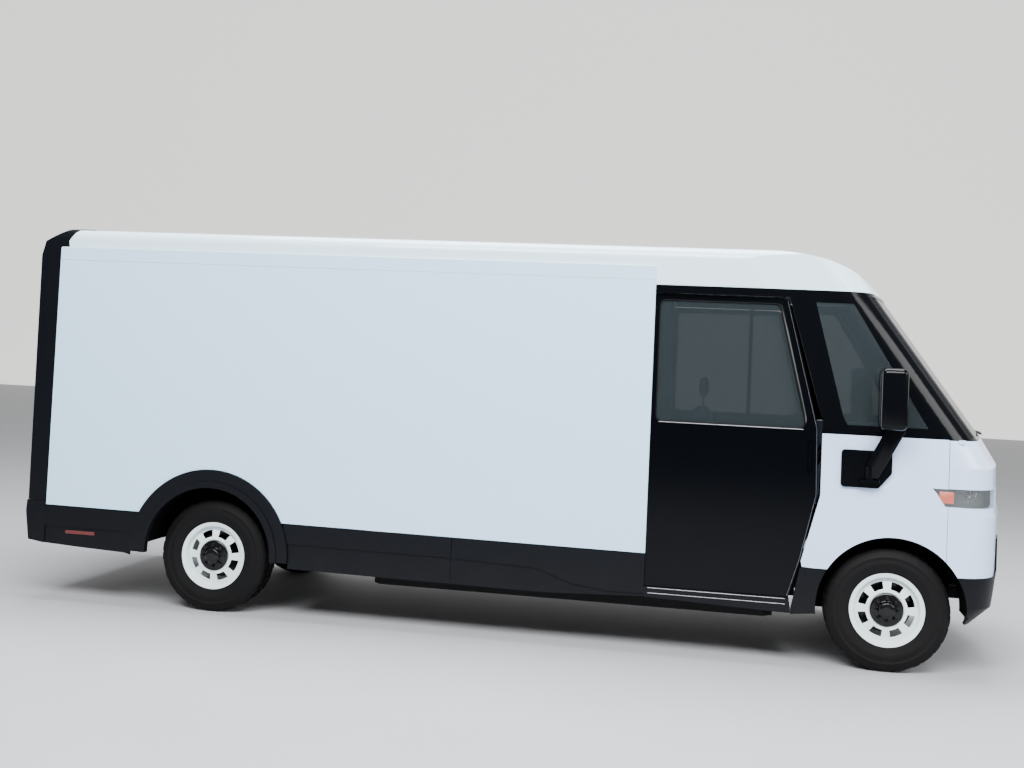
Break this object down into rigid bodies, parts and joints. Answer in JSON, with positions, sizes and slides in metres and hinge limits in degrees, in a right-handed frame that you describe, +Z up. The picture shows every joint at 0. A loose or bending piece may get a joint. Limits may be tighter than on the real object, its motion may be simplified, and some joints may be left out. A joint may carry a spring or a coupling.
{
  "type": "mail delivery truck",
  "caption": "Electric walk-in mail van with a long box body, sliding cab doors, rear cargo doors and a short sloping nose.",
  "frame": {"origin": "on the ground at the middle of the truck", "axes": "+X forwards, +Y to the left, +Z up"},
  "size_m": [6.88, 2.65, 2.7536],
  "materials": {
    "white": "gloss",
    "roof_white": "gloss",
    "black_gloss": "gloss",
    "black_trim": "satin",
    "glass": "clear",
    "mirror": "polished",
    "lamp_clear": "clear",
    "red": "gloss",
    "tyre": "matte",
    "wheel_white": "satin",
    "steel": "satin",
    "cast": "matte",
    "alu": "satin",
    "grey_panel": "satin",
    "seat": "matte"
  },
  "bodies": {
    "truck": {"arch_trims": "black_trim", "battery_pack": "alu", "bulkhead": "grey_panel", "cab_frame": "black_gloss", "chassis_frame": "cast", "dashboard": "black_trim", "floors": "alu", "front_bumper": "black_trim", "front_suspension": "cast", "headlamps": "lamp_clear", "inner_walls": "grey_panel", "leaf_springs": "cast", "marker_lamps": "red", "mirror_bases": "black_trim", "nose_panel": "white", "quarter_glass": "glass", "rear_axle": "cast", "rear_bumper": "black_trim", "rear_frame": "black_gloss", "roof": "roof_white", "seat_base": "grey_panel", "side_panels": "white", "side_skirts": "black_trim", "tail_lamps": "red", "wheel_liners": "black_trim", "windscreen": "glass", "wings": "white"},
    "wheel_unit_front_right": {"tyre_front_right": "tyre", "wheel_front_right": "wheel_white", "hub_front_right": "black_trim"},
    "wheel_unit_front_left": {"tyre_front_left": "tyre", "wheel_front_left": "wheel_white", "hub_front_left": "black_trim"},
    "wheel_unit_rear_right": {"tyre_rear_right": "tyre", "wheel_rear_right": "wheel_white", "hub_rear_right": "black_trim"},
    "wheel_unit_rear_left": {"tyre_rear_left": "tyre", "wheel_rear_left": "wheel_white", "hub_rear_left": "black_trim"},
    "steering_knuckle_right": {"knuckle_right": "cast"},
    "steering_knuckle_left": {"knuckle_left": "cast"},
    "cab_door_unit_right": {"cab_door_right": "black_gloss", "cab_door_glass_right": "glass"},
    "mirror_unit_right": {"mirror_arm_right": "black_gloss", "mirror_glass_right": "mirror"},
    "rear_door_unit_right": {"rear_door_right": "white"},
    "cab_door_unit_left": {"cab_door_left": "black_gloss", "cab_door_glass_left": "glass"},
    "mirror_unit_left": {"mirror_arm_left": "black_gloss", "mirror_glass_left": "mirror"},
    "rear_door_unit_left": {"rear_door_left": "white"},
    "rear_handle": {"rear_door_handle": "black_trim"},
    "bonnet_lid": {"bonnet": "white"},
    "wiper_arm": {"wiper": "black_trim"},
    "driver_seat": {"seat_cushion": "seat", "seat_back": "seat"},
    "steering": {"steering_wheel": "black_trim"},
    "brake": {"brake_pedal": "steel"},
    "accelerator": {"accelerator_pedal": "steel"},
    "bulkhead_slider": {"bulkhead_door": "alu"}
  },
  "joints": [
    {"name": "steer_right", "type": "hinge", "parent": "truck", "child": "steering_knuckle_right", "pos_m": [2.654, -0.7275, 0.4], "axis": [0, 0, 1], "range_deg": [-35, 35]},
    {"name": "spin_front_right", "type": "hinge", "parent": "steering_knuckle_right", "child": "wheel_unit_front_right", "pos_m": [2.654, -0.8575, 0.4], "axis": [0, 1, 0], "continuous": true},
    {"name": "spin_rear_right", "type": "hinge", "parent": "truck", "child": "wheel_unit_rear_right", "pos_m": [-2.006, -0.8575, 0.4], "axis": [0, 1, 0], "continuous": true},
    {"name": "cab_door_slide_right", "type": "slide", "parent": "truck", "child": "cab_door_unit_right", "axis": [-1, 0, 0], "range_m": [0, 0.95]},
    {"name": "rear_door_swing_right", "type": "hinge", "parent": "truck", "child": "rear_door_unit_right", "pos_m": [-3.419, -0.946, 1.6], "axis": [0, 0, 1], "range_deg": [0, 105]},
    {"name": "mirror_fold_right", "type": "hinge", "parent": "truck", "child": "mirror_unit_right", "pos_m": [2.504, -1.125, 1.29], "axis": [0, 0, -1], "range_deg": [0, 60]},
    {"name": "steer_left", "type": "hinge", "parent": "truck", "child": "steering_knuckle_left", "pos_m": [2.654, 0.7275, 0.4], "axis": [0, 0, 1], "range_deg": [-35, 35]},
    {"name": "spin_front_left", "type": "hinge", "parent": "steering_knuckle_left", "child": "wheel_unit_front_left", "pos_m": [2.654, 0.8575, 0.4], "axis": [0, 1, 0], "continuous": true},
    {"name": "spin_rear_left", "type": "hinge", "parent": "truck", "child": "wheel_unit_rear_left", "pos_m": [-2.006, 0.8575, 0.4], "axis": [0, 1, 0], "continuous": true},
    {"name": "cab_door_slide_left", "type": "slide", "parent": "truck", "child": "cab_door_unit_left", "axis": [-1, 0, 0], "range_m": [0, 0.95]},
    {"name": "rear_door_swing_left", "type": "hinge", "parent": "truck", "child": "rear_door_unit_left", "pos_m": [-3.419, 0.946, 1.6], "axis": [0, 0, -1], "range_deg": [0, 105]},
    {"name": "mirror_fold_left", "type": "hinge", "parent": "truck", "child": "mirror_unit_left", "pos_m": [2.504, 1.125, 1.29], "axis": [0, 0, 1], "range_deg": [0, 60]},
    {"name": "rear_handle_turn", "type": "hinge", "parent": "rear_door_unit_right", "child": "rear_handle", "pos_m": [-3.421, -0.07, 1.15], "axis": [-1, 0, 0], "range_deg": [0, 90]},
    {"name": "bonnet_lift", "type": "hinge", "parent": "truck", "child": "bonnet_lid", "pos_m": [3.282, 0, 1.418], "axis": [0, -1, 0], "range_deg": [0, 55]},
    {"name": "wiper_sweep", "type": "hinge", "parent": "truck", "child": "wiper_arm", "pos_m": [3.29689, 0.3, 1.533], "axis": [-0.8049, 0, -0.5933], "range_deg": [0, 95]},
    {"name": "seat_slide", "type": "slide", "parent": "truck", "child": "driver_seat", "axis": [1, 0, 0], "range_m": [-0.1, 0.12]},
    {"name": "steering_turn", "type": "hinge", "parent": "truck", "child": "steering", "pos_m": [2.269, 0.42, 1.29], "axis": [-0.9063, 0, 0.4226], "range_deg": [-525, 525]},
    {"name": "brake_press", "type": "hinge", "parent": "truck", "child": "brake", "pos_m": [2.714, 0.345, 1.136], "axis": [0, -1, 0], "range_deg": [0, 22], "stiffness_Nm_per_rad": 30, "springref_deg": -17.19},
    {"name": "accelerator_press", "type": "hinge", "parent": "truck", "child": "accelerator", "pos_m": [2.714, 0.418, 1.136], "axis": [0, -1, 0], "range_deg": [0, 22], "stiffness_Nm_per_rad": 30, "springref_deg": -17.19},
    {"name": "bulkhead_door_slide", "type": "slide", "parent": "truck", "child": "bulkhead_slider", "axis": [0, 1, 0], "range_m": [0, 0.6]}
  ],
  "couplings": [
    {"joint": "steer_left", "follows": "steer_right", "ratio": 1},
    {"joint": "steering_turn", "follows": "steer_right", "ratio": 15}
  ]
}
